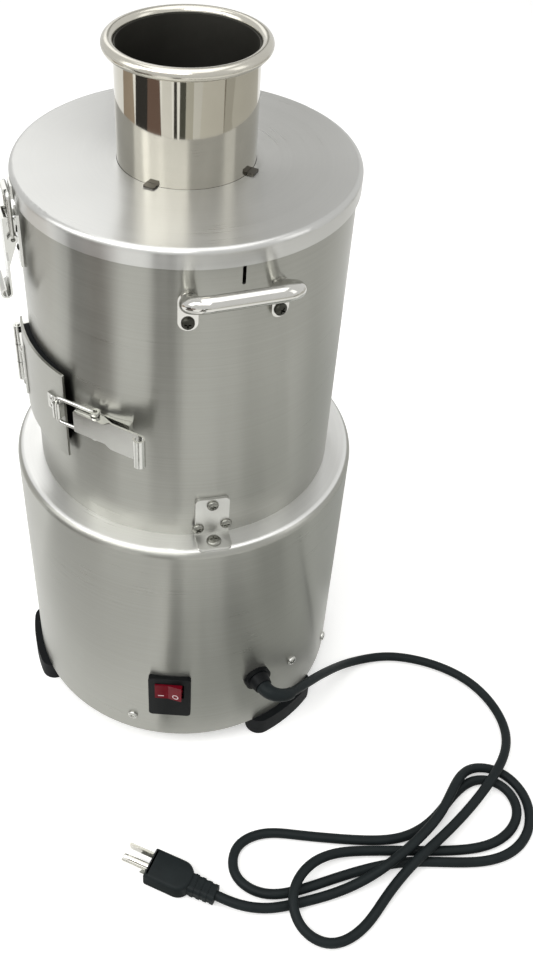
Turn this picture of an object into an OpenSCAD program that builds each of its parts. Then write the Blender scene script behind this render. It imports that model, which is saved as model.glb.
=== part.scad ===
// Garlic peeling machine: a polished drum with a spinning peeling disc stands on a motor base.
// A lid with a feed hopper lifts off it, a side door lets the cloves out, toggle latches hold both.
// Heights are from the floor. The front faces -Y, and azimuths turn from the front towards +X.

/* [Motor base] */
// Outer radius of the motor base
base_r = 115; // [108:1:122]
// Height of the motor base above the feet
base_h = 198; // [185:1:220]
// Sheet thickness of the motor base
base_t = 1.5; // [1:0.1:2.5]
// Radius of the rounded top edge of the motor base
base_edge = 5; // [3:0.5:8]
// Height of the flange of the bottom plate
plate_flange = 26; // [20:1:40]
// Radius of the round head of a base screw
screw_head_r = 3.7; // [3:0.1:4.5]

/* [Feet] */
// Height of the rubber feet
foot_h = 16; // [12:1:24]
// How far the feet stand out beyond the base
foot_out = 5.6; // [3:0.2:6]
// Radial width of a foot
foot_w = 20; // [16:1:24]
// Arc of the circle that one foot covers, in degrees
foot_arc = 32; // [24:1:44]
// Azimuth of the first foot
foot_az = 47; // [40:1:55]

/* [Drum] */
// Outer radius of the drum
drum_r = 98; // [94:1:102]
// Height of the drum above the motor base
drum_h = 204.5; // [195:0.5:225]
// Sheet thickness of the drum
drum_t = 1.5; // [1:0.1:2.5]
// Thickness of the drum floor
floor_t = 3; // [2:0.5:4]
// Azimuth of the first drum bracket
bracket_az = 14.6; // [8:0.2:16]
// Width of a drum bracket
bracket_w = 21.4; // [20:0.2:26]
// Height of a drum bracket
bracket_h = 32; // [31:1:38]
// Sheet thickness of a drum bracket
bracket_t = 2; // [1.5:0.1:3]

/* [Lid and hopper] */
// Sheet thickness of the lid
lid_t = 1.5; // [1:0.1:2]
// Height of the skirt of the lid
lid_skirt = 11.5; // [10.5:0.5:15]
// Radius of the rounded edge of the lid
lid_edge = 3; // [2:0.5:4]
// Thickness of the rubber seal under the lid
lid_seal_t = 1.8; // [1:0.1:3]
// Outer radius of the hopper tube
hopper_r = 39.5; // [30:0.5:50]
// Sheet thickness of the hopper
hopper_t = 1.2; // [0.8:0.1:2]
// Height of the hopper above the lid
hopper_h = 68; // [50:1:90]
// Depth of the hopper tube below the top of the lid
hopper_drop = 9; // [6:1:14]
// Diameter of the rolled rim of the hopper
rim_d = 7; // [5:0.5:9]

/* [Handles] */
// Azimuth of the front handle
handle_az = 20; // [14:1:24]
// Diameter of the handle rod
rod_d = 9; // [7:0.5:11]
// Reach of the handle bar from the drum, to the middle of the rod
handle_reach = 23.5; // [20:0.5:30]
// Distance of the handle legs from the middle of the handle
handle_leg = 25; // [22:0.5:30]
// Bend radius of the handle, to the middle of the rod
handle_bend = 11; // [8:0.5:13]
// Angle at which the legs spread, in degrees
handle_spread = 20; // [10:1:24]
// Angle at which the handle rises, in degrees
handle_tilt = 27; // [20:1:36]
// Depth of the handle legs below the rim of the drum
handle_down = 25.5; // [24:0.5:34]

/* [Door] */
// Azimuth of the hinge edge of the door
door_az0 = -77; // [-80:0.5:-74]
// Azimuth of the free edge of the door
door_az1 = -39; // [-42:0.5:-36]
// Height of the door
door_h = 63; // [56:1:76]
// Height of the middle of the door above the motor base
door_up = 76.5; // [70:0.5:84]
// Sheet thickness of the door
door_t = 1.5; // [1:0.1:2.5]
// Width and height of the discharge opening
opening_w = 49; // [40:1:52]
// Thickness of the rubber gasket round the opening
gasket_t = 3.3; // [2:0.1:4]
// Width of the rubber gasket round the opening
gasket_w = 5.5; // [3:0.5:6.5]
// Diameter of the hinge pin
hinge_pin_d = 3; // [2:0.1:4]
// Outer diameter of the hinge knuckles
knuckle_d = 6; // [5:0.5:8]
// Length of the hinge
hinge_h = 42; // [30:1:50]

/* [Latches] */
// Azimuth of the left lid latch
lid_latch_az = -70; // [-76:1:-66]
// Turn round the drum from the left lid latch to the second one, in degrees
latch_spread = 224; // [216:1:230]
// Height of the lever pivot above the drum
pivot_h = 6; // [5.8:0.1:7.5]
// Distance from the lever pivot to the crossbar of the loop
latch_reach = 18.5; // [17:0.5:24]
// Diameter of the loop wire
wire_d = 2.6; // [2:0.1:3]
// Length of the lever from its pivot
lever_l = 47; // [42:1:54]
// Width of the lever at its rolled end
lever_w = 20; // [16:0.5:24]
// Sheet thickness of the latch pieces
latch_t = 1.2; // [0.8:0.1:1.4]
// Diameter of the lever pin
latch_pin_d = 2.6; // [2:0.1:3]
// Width of a keeper
keeper_w = 11; // [8:0.5:11.5]
// Distance from the free edge of the door to its keeper, in degrees
keeper_in = 1.6; // [1.5:0.1:6]
// Height of the door latch above the middle of the door
door_latch_up = 7; // [0:0.5:9]
// Height of the lid latch crossbar below the top of the lid
keeper_down = 6; // [5.5:0.1:7]

/* [Switch and gland] */
// Width of the switch bezel
bezel_w = 30; // [28:0.5:36]
// Height of the switch bezel
bezel_h = 43; // [38:0.5:50]
// How far the switch bezel stands out
bezel_out = 3; // [2:0.1:4]
// Height of the middle of the switch above the bottom of the base
switch_up = 50; // [45:0.5:60]
// Width of the rocker
rocker_w = 19; // [14:0.5:21]
// Height of the rocker
rocker_h = 15; // [12:0.5:20]
// Angle that the rocker rocks through, in degrees
rocker_throw = 14; // [8:1:16]
// Azimuth of the cable gland
gland_az = 32; // [29:0.5:34]
// Height of the cable gland above the bottom of the base
gland_up = 54; // [52:0.5:60]
// Diameter of the cable gland
gland_d = 16; // [14:0.5:20]
// Length of the cable gland outside the base
gland_out = 10; // [8:0.5:11]

/* [Motor and rotor] */
// Radius of the motor housing
motor_r = 55; // [50:1:58]
// Length of the motor housing between its covers
motor_h = 90; // [70:1:96]
// Thickness of the motor covers
cover_t = 10; // [8.5:0.5:12]
// Length of the posts that carry the motor
post_h = 18; // [14:1:22]
// Diameter of the motor shaft
shaft_d = 12; // [10:0.5:14]
// Gap from the peeling disc to the wall of the drum
disc_gap = 6.5; // [5.5:0.5:12]
// Thickness of the peeling disc
disc_t = 4; // [3:0.5:6]
// Height of the peeling paddles
paddle_h = 12; // [8:1:16]
// Radius of the start capacitor
cap_r = 17.5; // [14:0.5:18]
// Height of the start capacitor
cap_h = 70; // [50:1:90]

/* [Cord and plug] */
// Diameter of the power cord
cord_d = 6.8; // [6:0.1:6.8]
// Width of the plug
plug_w = 22.4; // [21:0.2:26]
// Length of the plug body
plug_l = 30; // [26:0.5:36]
// Length of the relief behind the plug
plug_relief_l = 19.4; // [18:0.2:24]
// Length of the plug blades
blade_l = 18; // [15:0.5:20]

/* [Hidden] */
$fn = 64;
wall_fn = 360;

// Clearances
seat = 0.1;
running = 0.05;
free_gap = 0.3;
cut = 1;

// Levels from the floor up
base_z0 = foot_h;
base_z1 = base_z0 + base_h;
drum_z1 = base_z1 + drum_h;
lid_under = drum_z1 + free_gap + lid_seal_t;
lid_z1 = lid_under + lid_t;
hopper_z1 = lid_z1 + hopper_h;
door_z = base_z1 + door_up;
switch_z = base_z0 + switch_up;
gland_z = base_z0 + gland_up;
handle_z = drum_z1 - handle_down;

// Lid
lid_fit = 0.5;
lid_r = drum_r + lid_fit + lid_t;

// Screws and rivets
screw_head_h = 2.2;
screw_r = 2;
rivet_head_r = 2.2;
rivet_head_h = 1;
rivet_r = 1.3;
low_screw_az = -13.9;
low_screws = 4;
low_screw_up = 16.7;
side_screw_az = 48.4;
side_screw_up = 47.7;

// Vents in the bottom plate
vents = 12;
vent_w = 5;
vent_l = 28;
vent_at = motor_r + 12;

// Feet
feet = 3;
foot_mid_r = base_r + foot_out - foot_w / 2;
foot_screw_l = 12;
foot_step = 0.05;
foot_recess_r = 6;
foot_recess_h = 8;

// Drum brackets
brackets = 3;
bracket_leg = 15;
bracket_root = 3;
bracket_corner = 3;
bracket_top_up = 27;
bracket_low_up = [8, 10];
bracket_low_x = 8.9;
shoulder_screw_out = 9;
shoulder_head_r = 4.6;

// Drum slot below the lid skirt
slot_az = 22.4;
slot_w = 2;
slot_h = 11.4;
slot_down = 10.5;

// Handles
rod_lap = 0.6;
bend_swell = 0.05;
handle_foot_w = 11;
handle_foot_h = 24;
handle_foot_t = 2.5;
handle_foot_root = 2;
handle_foot_down = 7.5;
handle_bolt_down = 14.5;
handle_foot_az = asin(handle_leg / drum_r);

// Door, its gasket and its hinge
gasket_r0 = drum_r + seat;
gasket_r1 = gasket_r0 + gasket_t;
door_r0 = gasket_r1 + free_gap;
door_r1 = door_r0 + door_t;
door_mid_az = (door_az0 + door_az1) / 2;
door_w = 2 * door_r1 * sin((door_az1 - door_az0) / 2);
opening_az = door_mid_az - 1.5;
corner_r = 4;
hinge_az = door_az0 - 3;
hinge_out = knuckle_d / 2 + (door_r1 - drum_r) - 0.7;
hinge_leaf_t = 1.4;
leaf_root = 2;
drum_leaf_w = 14;
knuckle_gap = 0.4;
knuckle_l = (hinge_h - 2 * knuckle_gap) / 3;
leaf_az0 = hinge_az + 3.4;
leaf_az1 = hinge_az + 11;
leaf_rivet_y = hinge_h / 2 - 8;

// Latches: x across the latch, y towards the keeper, z away from the drum
wire_h = 5;
wire_r = wire_d / 2;
lever_gap = 2.5;
lever_neck = 18;
lever_flare = 4;
lever_front = 3.6;
flange_x = 6.2;
flange_l = 28;
flange_drop = 2.6;
ear_x = 4.2;
ear_t = 1.5;
ear_r = 2.1;
neck_w = 2 * (flange_x + latch_t);
loop_gap = 0.4;
loop_x = flange_x + latch_t + loop_gap + wire_r;
loop_tail = 9;
loop_bend = 3;
eye_r = 2.8;
eye_t = 2;
roll_r = 3.5;
latch_base_w = 12;
latch_base_root = 3;
latch_base_l = 30;
latch_base_t = 1.6;
latch_rivets_y = [-8, -20];
keeper_r0 = wire_r + free_gap;
keeper_r1 = keeper_r0 + latch_t;
lid_keeper_y = [-5, 3];
door_keeper_y = [-2.8, 11];
keeper_rivet_y = 7.5;
lid_latch_z = lid_z1 - keeper_down - latch_reach;
lid_latch_azs = [lid_latch_az, lid_latch_az + latch_spread];
latch_middle = 8;
door_latch_z = door_z + door_latch_up;
keeper_az = door_az1 - keeper_in;
keeper_r = norm([drum_r + wire_h, latch_middle + latch_reach]);
door_latch_az = keeper_az + atan2(latch_middle + latch_reach, drum_r + wire_h);

// Hopper
rim_lap = 0.7;
rim_mid_r = hopper_r - rim_lap + rim_d / 2;
rim_mid_z = hopper_z1 - rim_d / 2;
clip_az = 66.4;
clips = 4;
clip_w = 7;
clip_l = 3.2;
clip_h = 1.2;

// Switch
bezel_corner = 3;
switch_body_gap = 2;
switch_depth = 24;
rocker_up = 7.5;
rocker_axis = -2;
rocker_rise = 5.2;
rocker_dip = 1.2;
rocker_depth = 6;
rocker_pin_r = 1.5;
rocker_pin_l = 1.5;
rocker_well = 9;

// Gland
gland_thread_r = 6;
gland_flange_t = 3;
gland_flange_r = gland_d / 2 + 2;
gland_thread_l = 14;
nut_t = 5;

// Motor
housing_t = 2;
motor_z1 = base_z1 - base_t - post_h;
stator_r0 = 32;
core_r = stator_r0 - 0.5;
stator_margin = 8;
motor_bolts_n = 4;
motor_bolt_r = 2;
motor_bolt_at = motor_r + 3;
cover_r = motor_bolt_at + 4;
post_r = 5;
post_at = motor_r - 8;
bearing_r = 14;
bearing_t = 8;
shaft_r = shaft_d / 2;
shaft_tail = 4;
cap_from_wall = 30;
cap_at = base_r - cap_from_wall;
cap_tab_x = 6;
cap_tab = [1, 5, 8];
cap_az = 150;
strap_t = 1;
strap_w = 12;
strap_up = 30;

// Rotor
seal_r = shaft_r + 6;
seal_t = 6;
disc_up = 10;
disc_r = drum_r - drum_t - disc_gap;
hub_r = shaft_r + 9;
hub_h = 8;
paddles = 3;
paddle_w = 14;
paddle_in = 24;
paddle_edge = 4;
nut_af_r = shaft_r + 5;
rotor_nut_h = 9;
rotor_nut_cone = 6;
rotor_nut_taper = [0.86, 0.6];
disc_z = base_z1 + disc_up;
hub_z0 = base_z1 + seal_t + free_gap;
hub_z1 = disc_z + disc_t + hub_h;
shaft_z0 = motor_z1 - 2 * cover_t - motor_h - shaft_tail;
shaft_z1 = hub_z1 + rotor_nut_h;

// Power cord: points chosen along its route, from the relief to the plug
cord_points = [
    [86, -105, 63], [97, -90, 54], [108, -73, 42], [119, -56, 28], [130, -40, 14], [144, -27, 4],
    [166, -20, 3.4], [189, -21.5, 3.4], [212, -28, 3.4], [233, -40.5, 3.4], [248, -60.5, 3.4],
    [255, -83, 4], [250.5, -107, 10], [238.5, -129, 13], [220, -154, 12], [197, -179, 11.5],
    [173.5, -201, 11.5], [155, -223, 6], [142, -244.5, 3.4], [119, -260.5, 3.4], [96, -250.5, 7],
    [90, -228.5, 14], [102, -207.5, 13], [121, -194, 6.5], [146, -189.5, 3.4], [174, -187.5, 3.4],
    [203, -185.5, 3.4], [230, -180.5, 3.4], [249, -166.5, 3.4], [256, -147, 3.4], [246, -129, 3.4],
    [226, -125.5, 3.4], [209, -140, 3.4], [193.5, -163.5, 3.4], [171, -179.5, 3.4], [144, -182.5, 3.4],
    [119, -182.5, 3.4], [95, -182, 3.4], [72.5, -180.5, 3.4], [50.7, -192, 3.4], [50.7, -217, 3.4],
    [72.5, -228.5, 3.4], [94.5, -223.5, 3.4], [118, -213, 3.4], [144, -202.5, 3.4], [171, -195, 3.4],
    [200, -194, 3.4], [228, -192, 3.4], [250, -181.5, 3.4], [263, -161, 3.4], [262, -136, 3.4],
    [246, -117.5, 3.4], [222, -117.5, 5], [209, -137, 13], [199, -160, 14.5], [184, -179, 14.5],
    [166, -196.5, 13], [144, -212.5, 8], [121, -223, 4], [98, -230.5, 3.4], [77.5, -237, 3.6],
    [57.2, -237.3, 6.6], [41.4, -231.4, 7]];
cord_r = cord_d / 2;
cord_sides = 10;
cord_rings = 2;
cord_samples = 10;
cord_skip = 24;
relief_sides = 16;
relief_rings = 10;
relief_lead = 9;
relief_r0 = 5.6;
relief_r1 = 4.3;

// Plug
plug_at = cord_points[len(cord_points) - 1];
plug_from = cord_points[len(cord_points) - 2];
plug_turn = atan2(plug_at[1] - plug_from[1], plug_at[0] - plug_from[0]);
plug_h = 2 * plug_at[2];
plug_shoulder = 6.5;
plug_corner = 5;
plug_round = 4;
plug_neck_w = [12.4, 13.8];
plug_neck_h = [10, 11.4];
plug_neck_round = 3;
plug_ribs = 4;
rib_in = 0.25;
blade_gap = 12.7;
blade_t = 1.5;
blade_w = 6.4;
blade_up = 2.5;
ground_r = 2.4;
ground_up = -3;
ground_more = 3;

// Places children on a circle round the drum axis, facing outwards along -y.
module at(az, r, z) {
    rotate([0, 0, az]) translate([0, -r, z]) children();
}

// Like at(), with x along the wall, y upwards and z outwards.
module outward(az, r, z) {
    at(az, r, z) rotate([90, 0, 0]) children();
}

// Extrudes a profile drawn in y and z evenly to both sides along x.
module across(width) {
    rotate([90, 0, 90]) linear_extrude(width, center = true) children();
}

module ring(r0, r1, z0, z1) {
    translate([0, 0, z0]) difference() {
        cylinder(r = r1, h = z1 - z0, $fn = wall_fn);
        translate([0, 0, -cut]) cylinder(r = r0, h = z1 - z0 + 2 * cut, $fn = wall_fn);
    }
}

module arc_plate(r0, r1, z0, z1, az0, az1) {
    rotate([0, 0, az0 - 90]) rotate_extrude(angle = az1 - az0, $fn = wall_fn) translate([r0, z0])
        square([r1 - r0, z1 - z0]);
}

// Round can, closed above, with a rounded upper edge.
module can(r, z0, z1, edge) {
    translate([0, 0, z0]) rotate_extrude() {
        square([r - edge, z1 - z0]);
        square([r, z1 - z0 - edge]);
        translate([r - edge, z1 - z0 - edge]) intersection() {
            circle(edge);
            square(edge);
        }
    }
}

module rounded(w, h, r) {
    square([w - 2 * r, h], center = true);
    square([w, h - 2 * r], center = true);
    for (x = [-1, 1], y = [-1, 1]) translate([x * (w / 2 - r), y * (h / 2 - r)]) circle(r);
}

module stadium(w, h) {
    square([w, h - w], center = true);
    for (y = [-1, 1]) translate([0, y * (h - w) / 2]) circle(w / 2);
}

// Straight prism that passes outwards through the wall of the drum.
module wall_prism(az, z, w, h, r) {
    outward(az, drum_r / 2, z) linear_extrude(drum_r) rounded(w, h, r);
}

// Domed head with its shank, the head's underside at z = 0.
module domed(head_r, head_h, shank_r, shank_l) {
    ball_r = (head_r * head_r + head_h * head_h) / (2 * head_h);
    intersection() {
        translate([0, 0, head_h - ball_r]) sphere(ball_r);
        cylinder(r = head_r, h = head_h);
    }
    translate([0, 0, -shank_l]) cylinder(r = shank_r, h = shank_l);
}

module off_drum() {
    difference() {
        children();
        translate([0, 0, base_z1 - cut])
            cylinder(r = drum_r + seat, h = drum_h + 2 * cut, $fn = wall_fn);
    }
}

// Motor base
module low_screw_places() {
    for (i = [0 : low_screws - 1])
        outward(low_screw_az + i * 360 / low_screws, base_r, base_z0 + low_screw_up) children();
}

module side_screw_places() {
    for (side = [0, 180])
        outward(side_screw_az + side, base_r, base_z0 + side_screw_up) children();
}

module base_screw_holes() {
    low_screw_places() cylinder(r = screw_r + seat, h = 4 * base_t + 2 * cut, center = true);
    side_screw_places() cylinder(r = screw_r + seat, h = 4 * base_t + 2 * cut, center = true);
}

module base_shell() {
    color("silver") difference() {
        can(base_r, base_z0, base_z1, base_edge);
        can(base_r - base_t, base_z0 - cut, base_z1 - base_t, base_edge - base_t);
        translate([0, 0, base_z1 - 2 * base_t]) cylinder(r = seal_r + cut, h = 4 * base_t);
        outward(0, base_r - switch_depth, switch_z) linear_extrude(2 * switch_depth)
            square([bezel_w - 2 * switch_body_gap + 2 * seat, bezel_h - 2 * switch_body_gap + 2 * seat],
                center = true);
        outward(gland_az, base_r - gland_thread_l, gland_z)
            cylinder(r = gland_thread_r + seat, h = 2 * gland_thread_l);
        base_screw_holes();
        shoulder_screws(seat);
    }
}

module bottom_plate() {
    color("gray") difference() {
        union() {
            translate([0, 0, base_z0]) cylinder(r = base_r - base_t - seat, h = base_t);
            ring(base_r - 2 * base_t - seat, base_r - base_t - seat, base_z0, base_z0 + plate_flange);
        }
        low_screw_places() cylinder(r = screw_r + seat, h = 4 * base_t + 2 * cut, center = true);
        foot_places() cylinder(r = screw_r + seat, h = 3 * base_h, center = true);
        for (i = [0 : vents - 1]) at(i * 360 / vents, vent_at, base_z0 - cut)
            linear_extrude(base_t + 2 * cut) square([vent_w, vent_l], center = true);
    }
}

module base_screws() {
    color("lightgray") {
        low_screw_places() translate([0, 0, seat])
            domed(screw_head_r, screw_head_h, screw_r, 2 * base_t + 2 * seat);
        side_screw_places() translate([0, 0, seat])
            domed(screw_head_r, screw_head_h, screw_r, base_t + 2);
    }
}

// Feet
module foot_places() {
    for (i = [0 : feet - 1]) at(foot_az + i * 360 / feet, foot_mid_r, 0) children();
}

module rubber_feet() {
    half = foot_arc / 2 - asin(foot_w / 2 / foot_mid_r);
    color("#23272a") difference() {
        for (i = [0 : feet - 1]) {
            az = foot_az + i * 360 / feet;
            arc_plate(foot_mid_r - foot_w / 2, foot_mid_r + foot_w / 2, 0, foot_h, az - half, az + half);
            for (end = [-half, half]) at(az + end, foot_mid_r, 0)
                cylinder(r = foot_w / 2 - foot_step, h = foot_h);
        }
        foot_places() {
            translate([0, 0, -cut]) cylinder(r = foot_recess_r, h = foot_recess_h + cut);
            cylinder(r = screw_r + seat, h = foot_h + cut);
        }
    }
}

module foot_screws() {
    color("gray") foot_places() translate([0, 0, foot_recess_h]) rotate([180, 0, 0])
        domed(screw_head_r, screw_head_h, screw_r, foot_screw_l);
}

// Drum
module drum_shell() {
    color("silver") difference() {
        ring(drum_r - drum_t, drum_r, base_z1, drum_z1);
        wall_prism(opening_az, door_z, opening_w, opening_w, corner_r);
        wall_prism(slot_az, drum_z1 - slot_down - slot_h / 2 + lid_t, slot_w, slot_h, slot_w / 2 - seat);
        bracket_wall_screws(seat);
        handle_bolt_places() wall_hole(screw_r + seat);
        hinge_rivet_places() wall_hole(rivet_r + seat);
        latch_frames() latch_rivet_places() wall_hole(rivet_r + seat);
    }
}

module wall_hole(r) {
    cylinder(r = r, h = 12 * drum_t, center = true);
}

module drum_floor() {
    color("silver") ring(seal_r + seat, drum_r - drum_t - seat, base_z1, base_z1 + floor_t);
}

// Drum brackets
module bracket_places() {
    for (i = [0 : brackets - 1]) outward(bracket_az + i * 360 / brackets, drum_r, base_z1) children();
}

module bracket_wall_screws(gap) {
    shank = bracket_t + drum_t + seat;
    bracket_places() for (p = [[0, bracket_top_up], [-bracket_low_x, bracket_low_up[0]],
            [bracket_low_x, bracket_low_up[1]]])
        translate([p[0], p[1], bracket_t + seat])
            domed(screw_head_r + gap, screw_head_h, screw_r + gap, shank + gap * 20);
}

module shoulder_screws(gap) {
    bracket_places() translate([0, bracket_t, shoulder_screw_out]) rotate([-90, 0, 0])
        domed(shoulder_head_r, screw_head_h, screw_r + gap, bracket_t + base_t + gap * 20);
}

module drum_brackets() {
    color("lightgray") difference() {
        off_drum() bracket_places() {
            translate([0, 0, -bracket_root]) linear_extrude(bracket_root + bracket_t + seat) {
                translate([-bracket_w / 2, 0]) square([bracket_w, bracket_h - bracket_corner]);
                translate([0, bracket_h / 2]) rounded(bracket_w, bracket_h, bracket_corner);
            }
            rotate([-90, 0, 0]) translate([0, -bracket_leg / 2, 0]) linear_extrude(bracket_t)
                rounded(bracket_w, bracket_leg, bracket_corner);
        }
        bracket_places() for (p = [[0, bracket_top_up], [-bracket_low_x, bracket_low_up[0]],
                [bracket_low_x, bracket_low_up[1]]])
            translate([p[0], p[1], 0]) wall_hole(screw_r + seat);
        bracket_places() translate([0, 0, shoulder_screw_out]) rotate([-90, 0, 0])
            wall_hole(screw_r + seat);
    }
}

module bracket_screws() {
    color("lightgray") {
        bracket_wall_screws(0);
        shoulder_screws(0);
    }
}

// Handles
module handle_bolt_places() {
    for (back = [0, 180], side = [-1, 1])
        outward(handle_az + back + side * handle_foot_az, drum_r, handle_z - handle_bolt_down) children();
}

// Bent rod in the xy plane. Its bends are a hair thicker than the straight lengths that run into them.
module handle_rod() {
    rod_r = rod_d / 2;
    leg = (handle_reach - handle_bend * (1 + sin(handle_spread))) / cos(handle_spread);
    corner = [handle_leg + leg * sin(handle_spread) - handle_bend * cos(handle_spread),
        handle_reach - handle_bend];
    for (side = [0, 1]) mirror([side, 0, 0]) {
        translate([handle_leg, 0, 0]) rotate([0, 0, -handle_spread]) rotate([-90, 0, 0])
            translate([0, 0, -rod_d]) cylinder(r = rod_r, h = leg + rod_d + rod_lap);
        translate(corner) rotate([0, 0, -handle_spread]) rotate_extrude(angle = 90 + handle_spread)
            translate([handle_bend, 0]) circle(rod_r + bend_swell);
    }
    translate([0, handle_reach, 0]) rotate([0, 90, 0])
        cylinder(r = rod_r, h = 2 * (corner[0] + rod_lap), center = true);
}

module handle(az) {
    difference() {
        off_drum() {
            at(az, drum_r, handle_z) rotate([180 - handle_tilt, 0, 0]) handle_rod();
            for (side = [-1, 1])
                outward(az + side * handle_foot_az, drum_r, handle_z - handle_foot_down)
                    translate([0, 0, -handle_foot_root]) linear_extrude(handle_foot_root + handle_foot_t)
                        stadium(handle_foot_w, handle_foot_h);
        }
        handle_bolt_places() wall_hole(screw_r + seat);
    }
}

module front_handle() {
    color("gainsboro") handle(handle_az);
}

module rear_handle() {
    color("gainsboro") handle(handle_az + 180);
}

module handle_bolts() {
    color("dimgray") handle_bolt_places() translate([0, 0, handle_foot_t])
        domed(screw_head_r, screw_head_h, screw_r, handle_foot_t + drum_t);
}

// Door
module door_gasket() {
    color("#23272a") intersection() {
        ring(gasket_r0, gasket_r1, door_z - door_h, door_z + door_h);
        difference() {
            wall_prism(opening_az, door_z, opening_w + 2 * gasket_w, opening_w + 2 * gasket_w,
                corner_r + gasket_w);
            wall_prism(opening_az, door_z, opening_w + 1, opening_w + 1, corner_r);
        }
    }
}

module door_panel() {
    color("silver") difference() {
        intersection() {
            arc_plate(door_r0, door_r1, door_z - door_h / 2, door_z + door_h / 2, door_az0, door_az1);
            wall_prism(door_mid_az, door_z, door_w + 2, door_h + 2, corner_r + 1);
        }
        door_rivet_places() wall_hole(rivet_r + seat);
    }
}

module hinge_frame() {
    outward(hinge_az, drum_r, door_z) children();
}

module knuckle(y0) {
    translate([0, y0, hinge_out]) rotate([-90, 0, 0]) cylinder(d = knuckle_d, h = knuckle_l);
}

module pin_bore() {
    translate([0, -hinge_h, hinge_out]) rotate([-90, 0, 0])
        cylinder(r = hinge_pin_d / 2 + running, h = 2 * hinge_h);
}

module hinge_drum_leaf() {
    web = knuckle_d / 2 - 0.5;
    color("lightgray") difference() {
        off_drum() hinge_frame() difference() {
            union() {
                translate([-drum_leaf_w, -hinge_h / 2, -leaf_root])
                    cube([drum_leaf_w - 1, hinge_h, leaf_root + hinge_leaf_t]);
                for (y = [-hinge_h / 2, hinge_h / 2 - knuckle_l]) {
                    knuckle(y);
                    translate([-knuckle_d / 2, y, 0]) cube([web, knuckle_l, hinge_out]);
                }
            }
            pin_bore();
        }
        hinge_rivet_places() wall_hole(rivet_r + seat);
    }
}

module hinge_rivet_places() {
    hinge_frame() for (y = [-1, 1])
        translate([-drum_leaf_w + 5, y * leaf_rivet_y, 0]) children();
}

module hinge_rivets() {
    color("gainsboro") hinge_rivet_places() translate([0, 0, hinge_leaf_t])
        domed(rivet_head_r, rivet_head_h, rivet_r, hinge_leaf_t + drum_t);
}

module hinge_pin() {
    color("gainsboro") hinge_frame() translate([0, -hinge_h / 2 - 1, hinge_out]) rotate([-90, 0, 0])
        cylinder(d = hinge_pin_d, h = hinge_h + 2);
}

module hinge_door_leaf() {
    leaf_r0 = door_r1 + seat;
    tongue_z = leaf_r0 * cos(leaf_az0 - hinge_az) - drum_r;
    color("lightgray") difference() {
        union() {
            arc_plate(leaf_r0, leaf_r0 + hinge_leaf_t, door_z - hinge_h / 2 + 2, door_z + hinge_h / 2 - 2,
                leaf_az0, leaf_az1);
            hinge_frame() difference() {
                union() {
                    knuckle(-knuckle_l / 2);
                    translate([0, -knuckle_l / 2, tongue_z])
                        cube([drum_r * sin(leaf_az0 - hinge_az) + 1, knuckle_l, hinge_leaf_t - seat]);
                }
                pin_bore();
            }
        }
        door_rivet_places() wall_hole(rivet_r + seat);
    }
}

module leaf_rivet_places() {
    for (y = [-1, 1]) outward(leaf_az0 + 4.6, door_r1, door_z + y * leaf_rivet_y) children();
}

module keeper_frame() {
    outward(keeper_az, keeper_r, door_latch_z) rotate([0, 0, 90]) children();
}

module keeper_rivet_places() {
    keeper_frame() for (side = [-1, 1])
        translate([side * keeper_w / 4, keeper_rivet_y, door_r1 - keeper_r]) children();
}

module door_rivet_places() {
    leaf_rivet_places() children();
    keeper_rivet_places() children();
}

module door_rivets() {
    color("gainsboro") {
        leaf_rivet_places() translate([0, 0, seat + hinge_leaf_t])
            domed(rivet_head_r, rivet_head_h, rivet_r, hinge_leaf_t + door_t);
        keeper_rivet_places() translate([0, 0, latch_t])
            domed(rivet_head_r, rivet_head_h, rivet_r, latch_t + door_t);
    }
}

// Keeper: a plate with its end turned up and over the crossbar, which lies at the origin.
module keeper(lift, plate_y) {
    across(keeper_w) {
        difference() {
            circle(keeper_r1);
            circle(keeper_r0);
            translate([-2 * keeper_r1, -4 * keeper_r1]) square(4 * keeper_r1);
            translate([keeper_r0, -cut]) square(2 * keeper_r1);
        }
        translate([-keeper_r1, -lift]) square([latch_t, lift]);
        translate([plate_y[0], -lift - latch_t]) square([plate_y[1] - plate_y[0], 2 * latch_t]);
    }
}

module door_keeper() {
    color("gainsboro") difference() {
        keeper_frame() keeper(keeper_r - door_r1, door_keeper_y);
        ring(drum_r, door_r1 + seat, base_z1, drum_z1);
        keeper_rivet_places() wall_hole(rivet_r + seat);
    }
}

module lid_keepers() {
    color("gainsboro") difference() {
        for (az = lid_latch_azs) outward(az, drum_r + wire_h, lid_latch_z + latch_reach)
            keeper(drum_r + wire_h - lid_r, lid_keeper_y);
        ring(drum_r / 2, lid_r + seat, base_z1, hopper_z1);
    }
}

// Latches
module lid_latch(az) {
    outward(az, drum_r, lid_latch_z) children();
}

module door_latch() {
    outward(door_latch_az, drum_r, door_latch_z) rotate([0, 0, 90]) translate([0, latch_middle, 0])
        children();
}

module latch_frames() {
    for (az = lid_latch_azs) lid_latch(az) children();
    door_latch() children();
}

module latch_rivet_places() {
    for (y = latch_rivets_y) translate([0, y, 0]) children();
}

module latch_pin_bore(r) {
    translate([0, 0, pivot_h]) rotate([0, 90, 0]) cylinder(r = r, h = 2 * lever_w, center = true);
}

module latch_base() {
    difference() {
        union() {
            translate([-latch_base_w / 2, -latch_base_l, -latch_base_root])
                cube([latch_base_w, latch_base_l + lever_front, latch_base_root + latch_base_t]);
            for (side = [-1, 1]) translate([side * (ear_x + ear_t / 2), 0, 0]) across(ear_t) {
                translate([-ear_r, 0]) square([2 * ear_r, pivot_h]);
                translate([0, pivot_h]) circle(ear_r);
            }
        }
        latch_pin_bore(latch_pin_d / 2 + running);
        latch_rivet_places() wall_hole(rivet_r + seat);
    }
}

module latch_bases() {
    color("gainsboro") off_drum() latch_frames() latch_base();
}

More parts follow.
